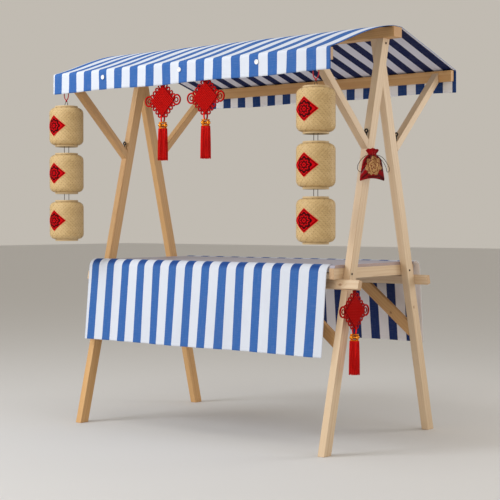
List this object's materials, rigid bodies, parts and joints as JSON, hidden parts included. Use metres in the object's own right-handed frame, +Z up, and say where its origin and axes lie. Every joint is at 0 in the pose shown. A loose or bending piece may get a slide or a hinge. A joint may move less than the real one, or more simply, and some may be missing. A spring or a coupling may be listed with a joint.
{
  "type": "wooden market stall",
  "caption": "Wooden market stall: A-frame ends, ridge beam, striped cloth roof, a table with striped cloths, and hanging lanterns, cord knots and a pouch.",
  "frame": {"origin": "on the floor, below the middle of the ridge beam and midway between the feet", "axes": "+X along the stall to the right as a customer sees it, +Y from the front to the back, +Z up"},
  "size_m": [1.8841, 1.254, 2.0336],
  "materials": {
    "pine": "planed and oiled",
    "tabletop_board": "grey stain",
    "black_steel": "black",
    "striped_cloth": "blue and white stripes",
    "white_button": "gloss",
    "bamboo_weave": "fine weave",
    "red_cord": "satin cord",
    "gold_bead": "polished",
    "red_strands": "silky",
    "red_satin": "satin",
    "dark_cord": "laid cord"
  },
  "bodies": {
    "root": {"leg_front_left": "pine", "leg_front_right": "pine", "leg_back_left": "pine", "leg_back_right": "pine", "ridge_beam": "pine", "eave_beam_front": "pine", "eave_beam_back": "pine", "roof_brace_front_left": "pine", "roof_brace_front_right": "pine", "roof_brace_back_left": "pine", "roof_brace_back_right": "pine", "table_rail_front": "pine", "table_rail_back": "pine", "table_end_left": "pine", "table_end_right": "pine", "knee_brace_front_left": "pine", "knee_brace_front_right": "pine", "knee_brace_back_left": "pine", "knee_brace_back_right": "pine", "tabletop": "tabletop_board", "screw_eyes": "black_steel", "canopy": "striped_cloth", "cloth_front": "striped_cloth", "cloth_back": "striped_cloth", "canopy_buttons": "white_button", "lantern_left_top": "bamboo_weave", "lantern_left_middle": "bamboo_weave", "lantern_left_bottom": "bamboo_weave", "lantern_right_top": "bamboo_weave", "lantern_right_middle": "bamboo_weave", "lantern_right_bottom": "bamboo_weave", "lantern_cord_left": "red_cord", "lantern_cord_right": "red_cord", "knot_left": "red_cord", "knot_right": "red_cord", "knot_low": "red_cord", "beads_left": "gold_bead", "beads_right": "gold_bead", "beads_low": "gold_bead", "tassel_left": "red_strands", "tassel_right": "red_strands", "tassel_low": "red_strands", "pouch": "red_satin", "drawstring_left": "dark_cord", "drawstring_right": "dark_cord"}
  },
  "joints": []
}
